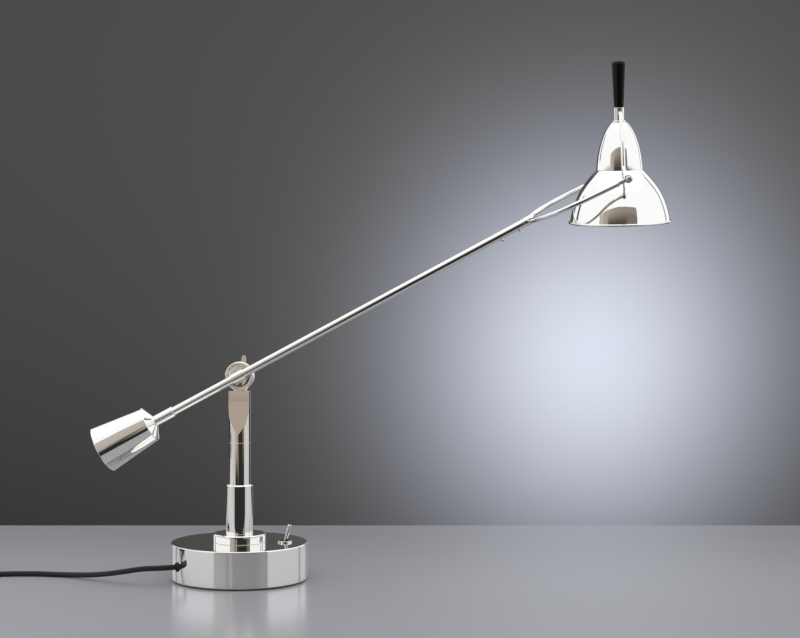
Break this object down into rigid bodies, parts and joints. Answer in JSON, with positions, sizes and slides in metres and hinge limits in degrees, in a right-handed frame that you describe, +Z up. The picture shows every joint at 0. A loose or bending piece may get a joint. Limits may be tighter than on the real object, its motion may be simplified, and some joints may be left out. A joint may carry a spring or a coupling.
{
  "type": "desk lamp",
  "caption": "Desk lamp with a round weighted base, swivelling post, tilting counterweighted arm, fork and tiltable dome shade.",
  "frame": {"origin": "centre of the base's underside on the post axis", "axes": "+Z up, +X from the post towards the shade, +Y towards the wing nut's side"},
  "size_m": [0.8487, 0.2456, 0.5598],
  "materials": {
    "polished_nickel": "polished nickel-plated brass and steel, mirror bright",
    "plated_steel": "bright plated steel",
    "brass": "turned brass",
    "felt": "pressed wool felt",
    "ballast_iron": "rough cast iron",
    "black_plastic": "moulded phenolic plastic",
    "black_lacquer": "glossy black lacquer on turned wood",
    "black_rubber": "moulded rubber",
    "black_textile": "braided cotton over flexible cord",
    "fibre": "pressed vulcanised fibre",
    "opal_glass": "opal glass"
  },
  "bodies": {
    "base": {"base_shell": "polished_nickel", "base_plate": "plated_steel", "felt_pad": "felt", "base_screws": "plated_steel", "base_ballast": "ballast_iron", "collar": "polished_nickel", "post_sleeve": "polished_nickel", "sleeve_nut": "brass", "switch_body": "black_plastic", "switch_nut": "plated_steel", "cord_gland": "black_rubber", "terminal_block": "black_plastic", "cord_clamp": "black_plastic", "cord": "black_textile", "cord_coil": "black_textile", "cord_tail": "black_textile", "plug_body": "black_plastic", "plug_relief": "black_plastic", "plug_pins": "brass"},
    "post": {"post_tube": "polished_nickel", "post_head": "polished_nickel"},
    "arm": {"hub_disc": "polished_nickel", "friction_washer": "fibre", "spring_washer": "plated_steel", "pivot_stud": "plated_steel", "arm_saddle": "polished_nickel", "saddle_screw": "plated_steel", "arm_tube": "polished_nickel", "counterweight": "polished_nickel", "weight_sleeve": "polished_nickel", "weight_screw": "plated_steel", "arm_end_ring": "polished_nickel", "fork_screw": "plated_steel"},
    "wing_nut": {"wing_nut": "polished_nickel"},
    "fork": {"fork_cap": "polished_nickel", "fork_leg_near": "polished_nickel", "fork_leg_far": "polished_nickel", "fork_end_near": "polished_nickel", "fork_end_far": "polished_nickel"},
    "shade": {"shade_dome": "polished_nickel", "shade_bell": "polished_nickel", "shade_collar": "polished_nickel", "handle": "black_lacquer", "yoke_rod_near": "polished_nickel", "yoke_rod_far": "polished_nickel", "pivot_spacer_near": "plated_steel", "pivot_spacer_far": "plated_steel", "pivot_nut_near": "plated_steel", "pivot_nut_far": "plated_steel", "lampholder": "black_plastic", "bulb_cap": "brass", "bulb": "opal_glass"},
    "switch_lever": {"switch_lever": "plated_steel"}
  },
  "joints": [
    {"name": "post_swivel", "type": "hinge", "parent": "base", "child": "post", "pos_m": [0, 0, 0.08], "axis": [0, 0, 1], "range_deg": [-165, 165]},
    {"name": "arm_tilt", "type": "hinge", "parent": "post", "child": "arm", "pos_m": [0, 0, 0.223], "axis": [0, -1, 0], "range_deg": [-45, 29]},
    {"name": "wing_nut_turn", "type": "hinge", "parent": "arm", "child": "wing_nut", "pos_m": [0, 0.014, 0.223], "axis": [0, 1, 0], "range_deg": [-90, 90]},
    {"name": "fork_roll", "type": "hinge", "parent": "arm", "child": "fork", "pos_m": [0.31551, -0.0093, 0.39217], "axis": [0.8813, 0, 0.4726], "range_deg": [-45, 45]},
    {"name": "shade_tilt", "type": "hinge", "parent": "fork", "child": "shade", "pos_m": [0.41136, -0.0086, 0.43857], "axis": [-0.0739, 0.9877, 0.1379], "range_deg": [-70, 70]},
    {"name": "switch_toggle", "type": "hinge", "parent": "base", "child": "switch_lever", "pos_m": [0.0503, 0, 0.041], "axis": [0, 1, 0], "range_deg": [-34, 0]}
  ]
}
